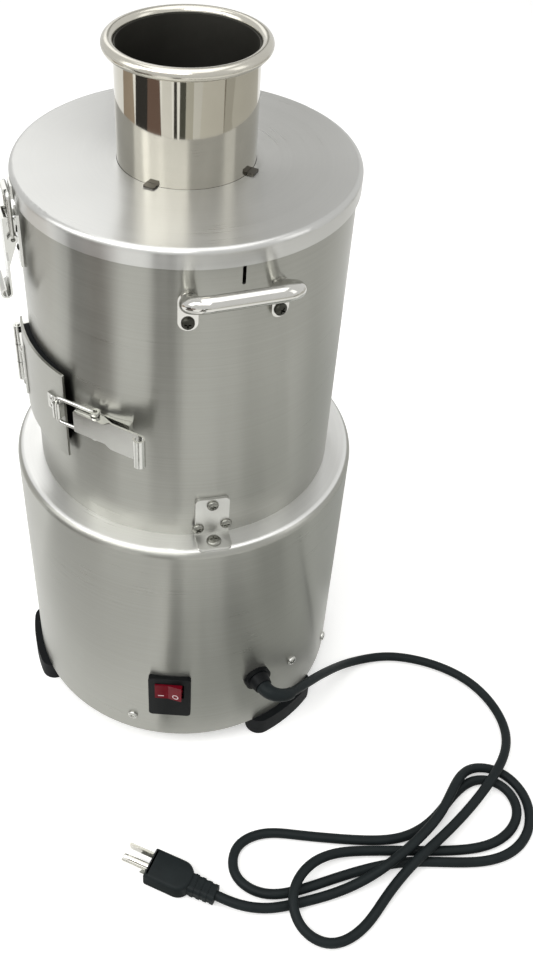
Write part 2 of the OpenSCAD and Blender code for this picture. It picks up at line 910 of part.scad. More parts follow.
module latch_pins() {
    color("gainsboro") latch_frames() translate([0, 0, pivot_h]) rotate([0, 90, 0])
        cylinder(d = latch_pin_d, h = neck_w + 0.2, center = true);
}

module latch_rivets() {
    color("gainsboro") latch_frames() latch_rivet_places() translate([0, 0, latch_base_t])
        domed(rivet_head_r, rivet_head_h, rivet_r, latch_base_t + drum_t);
}

// Lever: a channel with two cheeks on the pin, widening to an end that is rolled outwards.
module lever() {
    low = pivot_h + lever_gap;
    roll_y = lever_l - roll_r;
    difference() {
        union() {
            translate([0, 0, low]) linear_extrude(latch_t) for (side = [0, 1]) mirror([side, 0])
                polygon([[0, lever_front], [neck_w / 2, lever_front], [neck_w / 2, -lever_neck],
                    [lever_w / 2, -lever_neck - lever_flare], [lever_w / 2, -roll_y], [0, -roll_y]]);
            across(lever_w) translate([-roll_y, low + roll_r]) difference() {
                circle(roll_r);
                circle(roll_r - latch_t);
                translate([0, -2 * roll_r]) square(2 * roll_r);
            }
            for (side = [-1, 1]) translate([side * (flange_x + latch_t / 2), 0, 0]) across(latch_t) {
                polygon([[-flange_l, low], [-flange_l, low + latch_t / 2], [lever_front, low + latch_t / 2],
                    [lever_front, pivot_h], [0, pivot_h - lever_front],
                    [-flange_l / 2, pivot_h - flange_drop]]);
                translate([0, pivot_h]) circle(lever_front);
            }
        }
        latch_pin_bore(latch_pin_d / 2 + running);
    }
}

module left_lever() {
    color("gainsboro") lid_latch(lid_latch_azs[0]) lever();
}

module right_lever() {
    color("gainsboro") lid_latch(lid_latch_azs[1]) lever();
}

module door_lever() {
    color("gainsboro") door_latch() lever();
}

// Wire loop: a crossbar in the keeper and two legs with flattened eyes beside the lever.
module loop_half() {
    leg = latch_reach - loop_bend;
    translate([loop_x, -loop_tail, 0]) rotate([-90, 0, 0]) cylinder(r = wire_r, h = leg + loop_tail);
    translate([loop_x - loop_bend, leg, 0]) rotate_extrude(angle = 90) translate([loop_bend, 0])
        circle(wire_r);
    translate([0, latch_reach, 0]) rotate([0, 90, 0]) cylinder(r = wire_r, h = loop_x - loop_bend);
    translate([loop_x - eye_t / 2, -loop_tail, 0]) rotate([0, 90, 0]) cylinder(r = eye_r, h = eye_t);
}

module wire_loop() {
    translate([0, 0, wire_h]) difference() {
        union() {
            loop_half();
            mirror([1, 0, 0]) loop_half();
        }
        translate([0, -loop_tail, 0]) rotate([0, 90, 0])
            cylinder(r = latch_pin_d / 2 + running, h = 3 * lever_w, center = true);
    }
}

module left_loop() {
    color("gainsboro") lid_latch(lid_latch_azs[0]) wire_loop();
}

module right_loop() {
    color("gainsboro") lid_latch(lid_latch_azs[1]) wire_loop();
}

module door_loop() {
    color("gainsboro") door_latch() wire_loop();
}

// Lid and hopper
module lid_cover() {
    color("silver") difference() {
        can(lid_r, lid_z1 - lid_skirt, lid_z1, lid_edge);
        can(lid_r - lid_t, lid_z1 - lid_skirt - cut, lid_under, lid_edge - lid_t);
        translate([0, 0, lid_under - cut]) cylinder(r = hopper_r + 2 * seat, h = lid_t + 2 * cut);
    }
}

module lid_seal() {
    color("#23272a") ring(drum_r - 4 * drum_t, drum_r - lid_edge / 2, lid_under - lid_seal_t, lid_under);
}

module hopper() {
    color("gainsboro") {
        ring(hopper_r - hopper_t, hopper_r, lid_z1 - hopper_drop, rim_mid_z);
        rotate_extrude() translate([rim_mid_r, rim_mid_z]) circle(rim_d / 2);
    }
}

module hopper_clips() {
    color("gainsboro") difference() {
        for (i = [0 : clips - 1]) at(clip_az + i * 360 / clips, hopper_r + clip_l / 2, lid_z1)
            linear_extrude(clip_h) rounded(clip_w, clip_l + 2, 1);
        cylinder(r = hopper_r + seat, h = hopper_z1);
    }
}

// Switch
module rocker_frame() {
    outward(0, base_r, switch_z + rocker_up) children();
}

module switch_housing() {
    color("#1d2022") difference() {
        union() {
            difference() {
                outward(0, base_r - base_edge, switch_z) linear_extrude(base_edge + bezel_out)
                    rounded(bezel_w, bezel_h, bezel_corner);
                cylinder(r = base_r + seat, h = base_z1);
            }
            outward(0, base_r - switch_depth, switch_z) linear_extrude(switch_depth + bezel_out / 2)
                square([bezel_w - 2 * switch_body_gap, bezel_h - 2 * switch_body_gap], center = true);
        }
        rocker_frame() {
            translate([0, 0, -rocker_well]) linear_extrude(rocker_well + 2 * bezel_out)
                square([rocker_w + 5 * free_gap, rocker_h + 2 * free_gap], center = true);
            translate([0, 0, rocker_axis]) rotate([90, 0, 0])
                cylinder(r = rocker_pin_r + running, h = rocker_h + 2 * rocker_pin_l + 3 * free_gap,
                    center = true);
        }
    }
}

module rocker() {
    w = rocker_w / 2;
    color("#c0201c") rocker_frame() translate([0, 0, rocker_axis]) rotate([0, -rocker_throw / 2, 0]) {
        rotate([90, 0, 0]) linear_extrude(rocker_h, center = true)
            polygon([[-w, -rocker_depth / 2], [0, -rocker_depth * 0.7], [w, -rocker_depth / 2],
                [w, rocker_rise - rocker_axis], [0, rocker_rise - rocker_dip - rocker_axis],
                [-w, rocker_rise - rocker_axis]]);
        rotate([90, 0, 0]) cylinder(r = rocker_pin_r, h = rocker_h + 2 * rocker_pin_l, center = true);
    }
}

// Cable gland
module gland_frame() {
    outward(gland_az, base_r, gland_z) children();
}

module cable_gland() {
    color("#23272a") difference() {
        gland_frame() {
            translate([0, 0, -gland_thread_l]) cylinder(r = gland_thread_r, h = gland_thread_l + gland_out);
            translate([0, 0, -gland_flange_t]) cylinder(r = gland_flange_r, h = 2 * gland_flange_t);
            translate([0, 0, gland_flange_t]) cylinder(r1 = gland_d / 2, r2 = gland_d / 2 - 1.5,
                h = gland_out - gland_flange_t);
        }
        difference() {
            cylinder(r = base_r + seat, h = base_z1);
            gland_frame() translate([0, 0, -2 * gland_thread_l])
                cylinder(r = gland_thread_r, h = 4 * gland_thread_l);
        }
    }
}

module gland_nut() {
    color("#23272a") gland_frame() translate([0, 0, -base_t - 2 * seat - nut_t - 1]) difference() {
        cylinder(r = gland_flange_r, h = nut_t, $fn = 6);
        translate([0, 0, -cut]) cylinder(r = gland_thread_r + seat, h = nut_t + 2 * cut);
    }
}

// Motor
module motor_housing() {
    color("slategray") ring(motor_r - housing_t, motor_r, motor_z1 - cover_t - motor_h, motor_z1 - cover_t);
}

module motor_stator() {
    color("peru") ring(stator_r0, motor_r - housing_t - seat,
        motor_z1 - cover_t - motor_h + stator_margin, motor_z1 - cover_t - stator_margin);
}

module motor_cover(z) {
    difference() {
        translate([0, 0, z]) cylinder(r = cover_r, h = cover_t);
        translate([0, 0, z - cut]) cylinder(r = bearing_r + running, h = cover_t + 2 * cut);
        motor_bolt_places() cylinder(r = motor_bolt_r + seat, h = 2 * base_z1);
    }
}

module motor_bolt_places() {
    for (i = [0 : motor_bolts_n - 1]) at(45 + i * 360 / motor_bolts_n, motor_bolt_at, 0) children();
}

module motor_top_cover() {
    color("gray") motor_cover(motor_z1 - cover_t);
}

module motor_bottom_cover() {
    color("gray") motor_cover(motor_z1 - 2 * cover_t - motor_h);
}

module motor_bearings() {
    inset = (cover_t - bearing_t) / 2;
    color("lightgray") for (z = [motor_z1 - cover_t, motor_z1 - 2 * cover_t - motor_h])
        ring(shaft_r + running, bearing_r, z + inset, z + inset + bearing_t);
}

module motor_bolts() {
    color("lightgray") motor_bolt_places() translate([0, 0, motor_z1 - 2 * cover_t - motor_h])
        rotate([180, 0, 0]) domed(screw_head_r, screw_head_h, motor_bolt_r, 2 * cover_t + motor_h);
}

module motor_posts() {
    color("lightgray") for (i = [0 : motor_bolts_n - 1]) at(i * 360 / motor_bolts_n, post_at, motor_z1)
        cylinder(r = post_r, h = post_h, $fn = 6);
}

module capacitor() {
    color("whitesmoke") at(cap_az, cap_at, base_z0 + base_t) {
        cylinder(r = cap_r, h = cap_h);
        for (side = [-1, 1]) translate([side * cap_tab_x, 0, cap_h]) linear_extrude(cap_tab[2])
            square([cap_tab[0], cap_tab[1]], center = true);
    }
}

module capacitor_strap() {
    color("gray") at(cap_az, cap_at, base_z0 + base_t) {
        ring(cap_r + seat, cap_r + seat + strap_t, strap_up, strap_up + strap_w);
        translate([-strap_w / 2, cap_r + seat, 0]) cube([strap_w, strap_t, strap_up + strap_w]);
        translate([-strap_w / 2, cap_r + seat, 0]) cube([strap_w, strap_w, strap_t]);
    }
}

// Rotor
module motor_shaft() {
    color("lightgray") translate([0, 0, shaft_z0]) cylinder(r = shaft_r, h = shaft_z1 - shaft_z0);
}

module motor_core() {
    color("peru") ring(shaft_r + running, core_r, motor_z1 - cover_t - motor_h + stator_margin,
        motor_z1 - cover_t - stator_margin);
}

module shaft_seal() {
    color("#23272a") ring(shaft_r + running, seal_r, base_z1, base_z1 + seal_t);
}

module peeling_disc() {
    color("silver") difference() {
        union() {
            translate([0, 0, disc_z]) cylinder(r = disc_r, h = disc_t);
            translate([0, 0, hub_z0]) cylinder(r = hub_r, h = hub_z1 - hub_z0);
        }
        cylinder(r = shaft_r + running, h = drum_z1);
    }
}

module peeling_paddles() {
    length = disc_r - paddle_in - paddle_edge;
    color("#3a3d3f") for (i = [0 : paddles - 1])
        rotate([0, 0, i * 360 / paddles]) translate([0, -paddle_in - length / 2, disc_z + disc_t])
            intersection() {
                linear_extrude(paddle_h) stadium(paddle_w, length);
                translate([0, 0, paddle_h - paddle_w]) rotate([90, 0, 0])
                    cylinder(r = paddle_w, h = length, center = true);
            }
}

module rotor_nut() {
    color("gainsboro") translate([0, 0, hub_z1]) difference() {
        union() {
            cylinder(r = nut_af_r, h = rotor_nut_h - 1, $fn = 6);
            translate([0, 0, rotor_nut_h - 1]) cylinder(r1 = nut_af_r * rotor_nut_taper[0],
                r2 = shaft_r * rotor_nut_taper[1], h = rotor_nut_cone);
        }
        translate([0, 0, -cut]) cylinder(r = shaft_r + running, h = rotor_nut_h + cut);
    }
}

// Power cord
function unit(v) = v / norm(v);
function held(list, i) = list[max(0, min(len(list) - 1, i))];
function spline_point(a, b, c, d, t) =
    (pow(1 - t, 3) * a + (3 * pow(t, 3) - 6 * pow(t, 2) + 4) * b
    + (-3 * pow(t, 3) + 3 * pow(t, 2) + 3 * t + 1) * c + pow(t, 3) * d) / 6;
function spline(p, steps) = concat(
    [for (k = [0 : len(p)], j = [0 : steps - 1])
        spline_point(held(p, k - 2), held(p, k - 1), held(p, k), held(p, k + 1), j / steps)],
    [p[len(p) - 1]]);
function bezier(a, b, c, d, t) =
    pow(1 - t, 3) * a + 3 * pow(1 - t, 2) * t * b + 3 * (1 - t) * t * t * c + pow(t, 3) * d;
function path_length(p) =
    [for (i = [1 : len(p) - 1]) norm(p[i] - p[i - 1])] * [for (i = [1 : len(p) - 1]) 1];
function least_gap(p, skip) =
    min([for (i = [0 : len(p) - 1 - skip]) min([for (j = [i + skip : len(p) - 1]) norm(p[i] - p[j])])]);
function tube_ring(p, i, r, sides) =
    let (along = unit(held(p, i + 1) - held(p, i - 1)),
        side = unit(cross([0, 0, 1], along)),
        up = cross(along, side))
    [for (s = [0 : sides - 1]) p[i] + r * (cos(360 * s / sides) * side + sin(360 * s / sides) * up)];

// Round tube along the points, its radius running from r0 to r1.
module tube(p, r0, r1, sides) {
    last = len(p) - 1;
    points = [for (i = [0 : last]) each tube_ring(p, i, r0 + (r1 - r0) * i / last, sides)];
    walls = [for (i = [0 : last - 1], s = [0 : sides - 1])
        let (a = i * sides + s, b = i * sides + (s + 1) % sides)
        each [[a, a + sides, b], [b, a + sides, b + sides]]];
    start = [for (s = [1 : sides - 2]) [0, s, s + 1]];
    end = [for (s = [1 : sides - 2]) [last * sides, last * sides + s + 1, last * sides + s]];
    polyhedron(points, concat(walls, start, end));
}

module cord_relief() {
    from = [(base_r + gland_out) * sin(gland_az), -(base_r + gland_out) * cos(gland_az), gland_z];
    out = [sin(gland_az), -cos(gland_az), 0];
    to = cord_points[0];
    along = unit(cord_points[1] - to);
    color("#23272a") tube([for (i = [0 : relief_rings])
        bezier(from, from + relief_lead * out, to - relief_lead * along, to, i / relief_rings)],
        relief_r0, relief_r1, relief_sides);
}

module power_cord() {
    fine = spline(cord_points, cord_samples);
    echo("cord length", path_length(fine));
    echo("least gap of the cord to itself", least_gap(fine, cord_skip) - cord_d);
    color("#23272a") tube(spline(cord_points, cord_rings), cord_r, cord_r, cord_sides);
}

// Plug, lying on its side at the end of the cord, its prongs along x
module plug_frame() {
    translate(plug_at) rotate([0, 0, plug_turn]) children();
}

module plug_relief() {
    rib_l = plug_relief_l / (2 * plug_ribs);
    color("#23272a") plug_frame() {
        for (i = [0 : plug_ribs - 1]) {
            w = plug_neck_w[0] + (plug_neck_w[1] - plug_neck_w[0]) * i / (plug_ribs - 1);
            h = plug_neck_h[0] + (plug_neck_h[1] - plug_neck_h[0]) * i / (plug_ribs - 1);
            translate([2 * i * rib_l, 0, 0]) rotate([90, 0, 90]) {
                linear_extrude(rib_l) rounded(w, h, plug_neck_round);
                translate([0, 0, rib_l]) linear_extrude(rib_l)
                    rounded(w - 2 * rib_in, h - 2 * rib_in, plug_neck_round);
            }
        }
    }
}

module plug_body() {
    color("#23272a") plug_frame() translate([plug_relief_l, 0, 0]) intersection() {
        translate([0, 0, -plug_h / 2]) linear_extrude(plug_h) {
            translate([plug_l / 2, 0]) rounded(plug_l, plug_w, plug_shoulder);
            translate([plug_l / 2, -plug_w / 2]) square([plug_l / 2, plug_w]);
        }
        rotate([90, 0, 90]) linear_extrude(plug_l) rounded(plug_w, plug_h, plug_round);
        rotate([90, 0, 0]) linear_extrude(plug_w, center = true) {
            translate([plug_corner, -plug_h / 2]) square([plug_l - plug_corner, plug_h]);
            translate([plug_l / 2, 0]) rounded(plug_l, plug_h, plug_corner);
        }
    }
}

module plug_prongs() {
    color("goldenrod") plug_frame() translate([plug_relief_l + plug_l, 0, 0]) {
        for (side = [-1, 1]) translate([blade_l / 2, side * blade_gap / 2, blade_up])
            cube([blade_l, blade_t, blade_w], center = true);
        translate([0, 0, ground_up]) rotate([0, 90, 0])
            cylinder(r = ground_r, h = blade_l + ground_more - ground_r);
        translate([blade_l + ground_more - ground_r, 0, ground_up]) sphere(ground_r);
    }
}

base_shell();
bottom_plate();
rubber_feet();
foot_screws();
base_screws();
drum_shell();
drum_floor();
drum_brackets();
bracket_screws();
front_handle();
rear_handle();
handle_bolts();
door_gasket();
hinge_drum_leaf();
hinge_pin();
hinge_rivets();
door_panel();
hinge_door_leaf();
door_keeper();
door_rivets();
latch_bases();
latch_pins();
latch_rivets();
left_lever();
right_lever();
door_lever();
left_loop();
right_loop();
door_loop();
lid_cover();
lid_seal();
lid_keepers();
hopper();
hopper_clips();
switch_housing();
rocker();
cable_gland();
gland_nut();
motor_housing();
motor_stator();
motor_top_cover();
motor_bottom_cover();
motor_bearings();
motor_bolts();
motor_posts();
capacitor();
capacitor_strap();
motor_shaft();
motor_core();
shaft_seal();
peeling_disc();
peeling_paddles();
rotor_nut();
cord_relief();
power_cord();
plug_relief();
plug_body();
plug_prongs();
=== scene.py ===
import math
import bmesh
import bpy
from mathutils import Matrix, Quaternion, Vector, geometry


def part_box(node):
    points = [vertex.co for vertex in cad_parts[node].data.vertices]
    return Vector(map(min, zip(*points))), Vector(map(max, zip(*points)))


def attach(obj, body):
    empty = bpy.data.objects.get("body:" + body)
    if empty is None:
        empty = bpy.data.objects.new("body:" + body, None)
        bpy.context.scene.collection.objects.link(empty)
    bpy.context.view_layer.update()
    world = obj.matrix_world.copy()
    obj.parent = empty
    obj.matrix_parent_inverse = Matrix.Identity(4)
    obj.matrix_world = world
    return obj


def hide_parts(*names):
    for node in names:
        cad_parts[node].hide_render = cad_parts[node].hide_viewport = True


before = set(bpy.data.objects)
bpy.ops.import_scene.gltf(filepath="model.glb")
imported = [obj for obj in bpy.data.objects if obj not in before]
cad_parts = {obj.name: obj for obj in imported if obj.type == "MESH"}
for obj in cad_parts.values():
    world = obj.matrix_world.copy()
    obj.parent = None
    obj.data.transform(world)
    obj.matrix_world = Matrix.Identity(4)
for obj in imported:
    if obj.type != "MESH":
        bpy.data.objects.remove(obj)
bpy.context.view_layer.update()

# Camera. It stands in front of the machine, a little right of its middle, and looks down at it.
# The picture is 533 x 954 pixels, and the lens shift sets the machine left of its middle.
camera_at = Vector((0.0433, -0.5622, 0.7115))
camera_aim = Vector((0.0166, -0.0696, 0.25))
camera_roll = math.radians(1.34)
lens_mm = 40.74
sensor_mm = 36
lens_shift = (0.0676, -0.0143)
nearest_seen = 0.01

camera = bpy.data.objects.new("camera", bpy.data.cameras.new("camera"))
bpy.context.scene.collection.objects.link(camera)
camera.location = camera_at
camera.rotation_mode = "QUATERNION"
looking = (camera_aim - camera_at).to_track_quat("-Z", "Y")
camera.rotation_quaternion = looking @ Quaternion((0, 0, 1), camera_roll)
camera.data.lens = lens_mm
camera.data.sensor_width = sensor_mm
camera.data.shift_x, camera.data.shift_y = lens_shift
camera.data.clip_start = nearest_seen
bpy.context.scene.camera = camera
bpy.context.scene.view_settings.view_transform = "Standard"

# Studio. A sheet of white paper lies under the machine and white surrounds it, lit by soft lamps.
# Cards lie on the paper round the machine, and a grey one stands behind it.
# The cards show only in reflections, as bands in the steel.
pure_white = "#ffffff"
paper_white = "#f6f6f4"
paper_size = 6
paper_lift = 0.36
paper_matt = 0.9
surround_light = 0.45
card_lift = 0.001
card_step = 0.0001
far_reach = (0.8, 1.6)
backing_grey = "#b4b3af"
backing_wide = 0.3
backing_high = 1
backing_azimuth = 178
backing_away = 1.35
backing_up = 1.4
lamp_aim = (0, 0, 0.25)


def linear(colour):
    """The linear red, green, blue and alpha of an sRGB hex colour."""
    parts = [int(colour[i:i + 2], 16) / 255 for i in (1, 3, 5)]
    return [c / 12.92 if c <= 0.04045 else ((c + 0.055) / 1.055) ** 2.4 for c in parts] + [1]


def add(tree, kind, inputs=(), **settings):
    """Adds a node with its settings. Each input is a value or the output of another node.

    A Mix node of colours has its factor at input 0, its colours at 6 and 7 and its result at output 2."""
    made = tree.nodes.new(kind)
    for name, value in settings.items():
        setattr(made, name, value)
    for key, value in dict(inputs).items():
        if isinstance(value, bpy.types.NodeSocket):
            tree.links.new(value, made.inputs[key])
        else:
            made.inputs[key].default_value = value
    return made


def new_material(name):
    """A material with an empty node tree."""
    material = bpy.data.materials.new(name)
    material.use_nodes = True
    material.node_tree.nodes.clear()
    return material


def seen_directly(tree):
    """One where the camera, a reflection or a clear piece sees the surface, and nothing for soft light."""
    path = add(tree, "ShaderNodeLightPath")
    seen = add(tree, "ShaderNodeMath", {0: path.outputs["Is Camera Ray"], 1: path.outputs["Is Glossy Ray"]},
               operation="MAXIMUM")
    seen = add(tree, "ShaderNodeMath", {0: seen.outputs[0], 1: path.outputs["Is Transmission Ray"]},
               operation="MAXIMUM")
    return seen.outputs[0]


def sheet_of(name, width, height, place, material):
    """A flat sheet that belongs to the studio."""
    bm = bmesh.new()
    bmesh.ops.create_grid(bm, x_segments=1, y_segments=1, size=0.5)
    bmesh.ops.scale(bm, vec=(width, height, 1), verts=bm.verts)
    bmesh.ops.transform(bm, matrix=place, verts=bm.verts)
    mesh = bpy.data.meshes.new(name)
    bm.to_mesh(mesh)
    bm.free()
    mesh.materials.append(material)
    made = bpy.data.objects.new(name, mesh)
    bpy.context.scene.collection.objects.link(made)
    return made


def outward(azimuth, radius, height):
    """The matrix of a place on a round wall, with x along the wall, y up and z out of it."""
    turn = math.radians(azimuth)
    out = Vector((math.sin(turn), -math.cos(turn), 0))
    along = Vector((math.cos(turn), math.sin(turn), 0))
    matrix = Matrix((along, Vector((0, 0, 1)), out)).transposed().to_4x4()
    matrix.translation = out * radius + Vector((0, 0, height))
    return matrix


def card_of(name, colour, width, height, place):
    """A card that only reflections see."""
    board = new_material(name)
    face = add(board.node_tree, "ShaderNodeBsdfPrincipled",
               {"Base Color": linear(colour), "Roughness": paper_matt})
    add(board.node_tree, "ShaderNodeOutputMaterial", {"Surface": face.outputs[0]})
    made = sheet_of(name, width, height, place, board)
    made.visible_camera = False
    made.visible_diffuse = False
    made.visible_shadow = False


def softbox(name, at, width, height, watts):
    """A lamp behind a rectangle of cloth, aimed at the middle of the machine."""
    lamp = bpy.data.lights.new(name, "AREA")
    lamp.shape = "RECTANGLE"
    lamp.size = width
    lamp.size_y = height
    lamp.energy = watts
    stand = bpy.data.objects.new(name, lamp)
    stand.location = at
    stand.rotation_euler = (Vector(lamp_aim) - Vector(at)).to_track_quat("-Z", "Y").to_euler()
    bpy.context.scene.collection.objects.link(stand)


world = bpy.data.worlds.new("white_surround")
world.use_nodes = True
tree = world.node_tree
tree.nodes.clear()
soft = add(tree, "ShaderNodeBackground", {"Color": linear(pure_white), "Strength": surround_light})
white = add(tree, "ShaderNodeBackground", {"Color": linear(pure_white), "Strength": 1})
both = add(tree, "ShaderNodeMixShader", {0: seen_directly(tree), 1: soft.outputs[0], 2: white.outputs[0]})
add(tree, "ShaderNodeOutputWorld", {"Surface": both.outputs[0]})
bpy.context.scene.world = world

# The paper is lifted to white where it is seen directly, and keeps a soft shadow.
paper = new_material("white_paper")
tree = paper.node_tree
lift = add(tree, "ShaderNodeMath", {0: seen_directly(tree), 1: paper_lift}, operation="MULTIPLY")
paper_face = add(tree, "ShaderNodeBsdfPrincipled",
                 {"Base Color": linear(paper_white), "Roughness": paper_matt,
                  "Emission Color": linear(pure_white), "Emission Strength": lift.outputs[0]})
add(tree, "ShaderNodeOutputMaterial", {"Surface": paper_face.outputs[0]})
sheet_of("paper_floor", paper_size, paper_size, Matrix.Identity(4), paper)

# Each card has its colour, its azimuth, where it starts and ends out from the machine, and its width.
# The near ones show in the drum and the base, and the far ones in the hopper.
near_cards = (
    ("left_strip", "#5f5a54", -60, 0.43, 0.8, 0.34),
    ("lens_strip", "#57524b", -8.5, 0.42, 0.8, 0.17),
    ("base_strip", "#b0b3ae", 36, 0.135, 0.34, 0.1),
    ("base_shade", "#cfd1cc", 62, 0.14, 0.45, 0.26),
    ("base_lens_strip", "#8f918c", 1, 0.135, 0.3, 0.035),
    ("base_pale_strip", "#dcdeda", 15, 0.135, 0.3, 0.08),
    ("base_left_strip", "#efefed", -48, 0.17, 0.42, 0.32),
    ("base_right_strip", "#e0e2de", 122, 0.15, 0.55, 0.5))
far_cards = (
    ("far_brown_card", "#b3a391", -98, *far_reach, 0.48),
    ("far_black_card", "#17130f", -68.5, *far_reach, 0.46),
    ("far_wood_card", "#6d564b", -47.2, *far_reach, 0.4),
    ("far_white_card", "#fbfaf6", -26.3, *far_reach, 0.29),
    ("far_lens_card", "#2a2722", -12.8, *far_reach, 0.09),
    ("far_green_card", "#4c4d44", -1.2, *far_reach, 0.185),
    ("far_sage_card", "#d2d0c5", 9.3, *far_reach, 0.23),
    ("far_cream_card", "#f6f5f0", 21.7, *far_reach, 0.26),
    ("far_pale_card", "#eeebe2", 45.9, *far_reach, 0.68),
    ("far_edge_card", "#8a8073", 66, *far_reach, 0.09),
    ("far_shade_card", "#d0cdc3", 77.5, *far_reach, 0.445),
    ("far_side_card", "#e8e5dc", 114, *far_reach, 1.17))
lying = Matrix.Rotation(math.radians(90), 4, "X")
for order, (name, colour, azimuth, start, end, width) in enumerate(near_cards + far_cards):
    middle = outward(azimuth, (start + end) / 2, card_lift + order * card_step)
    card_of(name, colour, width, end - start, middle @ lying)
backing_place = outward(backing_azimuth, backing_away, backing_up)
card_of("backing", backing_grey, backing_wide, backing_high, backing_place)

# Each lamp has its place, its width and height in metres, and its power in watts.
lamps = (
    ("top_lamp", (0, -0.1, 1.9), 1.6, 1.6, 12),
    ("back_lamp", (-0.5, 1.3, 1.35), 0.6, 0.9, 1.6),
    ("left_lamp", (-1.3, -0.4, 1), 0.7, 0.9, 3.5),
    ("front_lamp", (-0.3, -1.1, 1.5), 1, 0.6, 7.5),
    ("key_lamp", (-1.1, -0.8, 1.5), 0.9, 0.6, 7.5),
    ("right_lamp", (1.3, -0.3, 1.1), 0.5, 0.9, 1.5))
for lamp in lamps:
    softbox(*lamp)


# Motor base. A can drawn from stainless sheet, brushed round its wall, with painted light making its
# shoulder paler.
# A flanged bottom plate of the same sheet closes it from below, and screws hold the two together.
wall_dark = "#90908a"
wall_light = "#9e9e98"
# Painted light: the shoulder's flat top gets these paler colours so that it looks brightly lit.
painted_lit_shoulder_dark = "#d3d3d0"
painted_lit_shoulder_light = "#dededb"
base_low, base_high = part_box("base_shell")
shoulder_from = base_high[2] - 0.001
shoulder_blend = 0.0005
brush_long = 0.12
brush_fine = 0.0012
brush_depth = 0.0002
brush_strength = 0.018
handled_patch = 0.07
brushed_rough = 0.3
brushed_swing = 0.04


def brushed_steel(name, dark, light, line_long, line_fine, shoulder=False):
    """Stainless sheet brushed round the machine's axis: long fine lines, and glints drawn out across them.

    The lines are drawn coarser than the real ones so that they show. A shoulder gets paler colours, as
    painted light on its top."""
    material = new_material(name)
    tree = material.node_tree
    where = add(tree, "ShaderNodeTexCoord").outputs["Object"]
    level = add(tree, "ShaderNodeVectorMath", {0: where, 1: (1, 1, 0)}, operation="MULTIPLY")
    away = add(tree, "ShaderNodeVectorMath", {0: level.outputs[0]}, operation="LENGTH")
    parts = add(tree, "ShaderNodeSeparateXYZ", {0: where})
    unrolled = add(tree, "ShaderNodeCombineXYZ",
                   {0: away.outputs["Value"], 1: parts.outputs[2], 2: parts.outputs[0]})
    drawn = add(tree, "ShaderNodeMapping", {"Vector": unrolled.outputs[0],
                                            "Scale": (1 / line_fine, 1 / line_fine, 1 / line_long)})
    lines = add(tree, "ShaderNodeTexNoise",
                {"Vector": drawn.outputs[0], "Scale": 1, "Detail": 4, "Roughness": 0.65})
    handled = add(tree, "ShaderNodeTexNoise", {"Vector": where, "Scale": 1 / handled_patch, "Detail": 2})
    tone = add(tree, "ShaderNodeMix", {0: lines.outputs["Fac"], 6: linear(dark), 7: linear(light)},
               data_type="RGBA")
    # Painted light: above shoulder_from the colour turns paler, so that the shoulder's top looks lit.
    if shoulder:
        rim_gloss_and_painted_shoulder_light = add(tree, "ShaderNodeMix",
                     {0: lines.outputs["Fac"], 6: linear(painted_lit_shoulder_dark), 7: linear(painted_lit_shoulder_light)},
                     data_type="RGBA")
        top = add(tree, "ShaderNodeMapRange", {"Value": parts.outputs[2], "From Min": shoulder_from,
                                               "From Max": shoulder_from + shoulder_blend})
        tone = add(tree, "ShaderNodeMix", {0: top.outputs[0], 6: tone.outputs[2], 7: rim_gloss_and_painted_shoulder_light.outputs[2]},
                   data_type="RGBA")
    wear = add(tree, "ShaderNodeMath", {0: lines.outputs["Fac"], 1: handled.outputs["Fac"]},
               operation="ADD")
    gloss = add(tree, "ShaderNodeMapRange",
                {"Value": wear.outputs[0], "From Min": 0.6, "From Max": 1.4,
                 "To Min": brushed_rough - brushed_swing, "To Max": brushed_rough + brushed_swing})
    scored = add(tree, "ShaderNodeBump",
                 {"Height": lines.outputs["Fac"], "Strength": brush_strength, "Distance": brush_depth})
    round_axis = add(tree, "ShaderNodeTangent", direction_type="RADIAL", axis="Z")
    shader = add(tree, "ShaderNodeBsdfPrincipled",
                 {"Base Color": tone.outputs[2], "Metallic": 1, "Roughness": gloss.outputs[0],
                  "Normal": scored.outputs[0], "Anisotropic": 0.85, "Anisotropic Rotation": 0.25,
                  "Tangent": round_axis.outputs[0]})
    add(tree, "ShaderNodeOutputMaterial", {"Surface": shader.outputs[0]})
    return material


def dress(material, *nodes):
    """Gives the modelled pieces of these names their finish."""
    for name in nodes:
        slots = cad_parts[name].data.materials
        slots.clear()
        slots.append(material)


# Brushed stainless sheet is a soft warm grey, with tall bands of light and shade and faint rings.
wall_steel = brushed_steel("brushed_stainless_wall", wall_dark, wall_light, brush_long, brush_fine)
base_steel = brushed_steel("brushed_stainless_base", wall_dark, wall_light, brush_long, brush_fine,
                           shoulder=True)
dress(base_steel, "base_shell")
dress(wall_steel, "bottom_plate")

# Rubber feet. Three curved blocks of black rubber, each moulded in one piece.
# A screw from below holds each one under the bottom plate.
foot_black = "#0d0f11"
foot_bloom = "#161819"
grain_height = 0.0003
moulded_swing = 0.08
moulded_sheen = 0.1
eased_steps = 3
eased_from = math.radians(40)


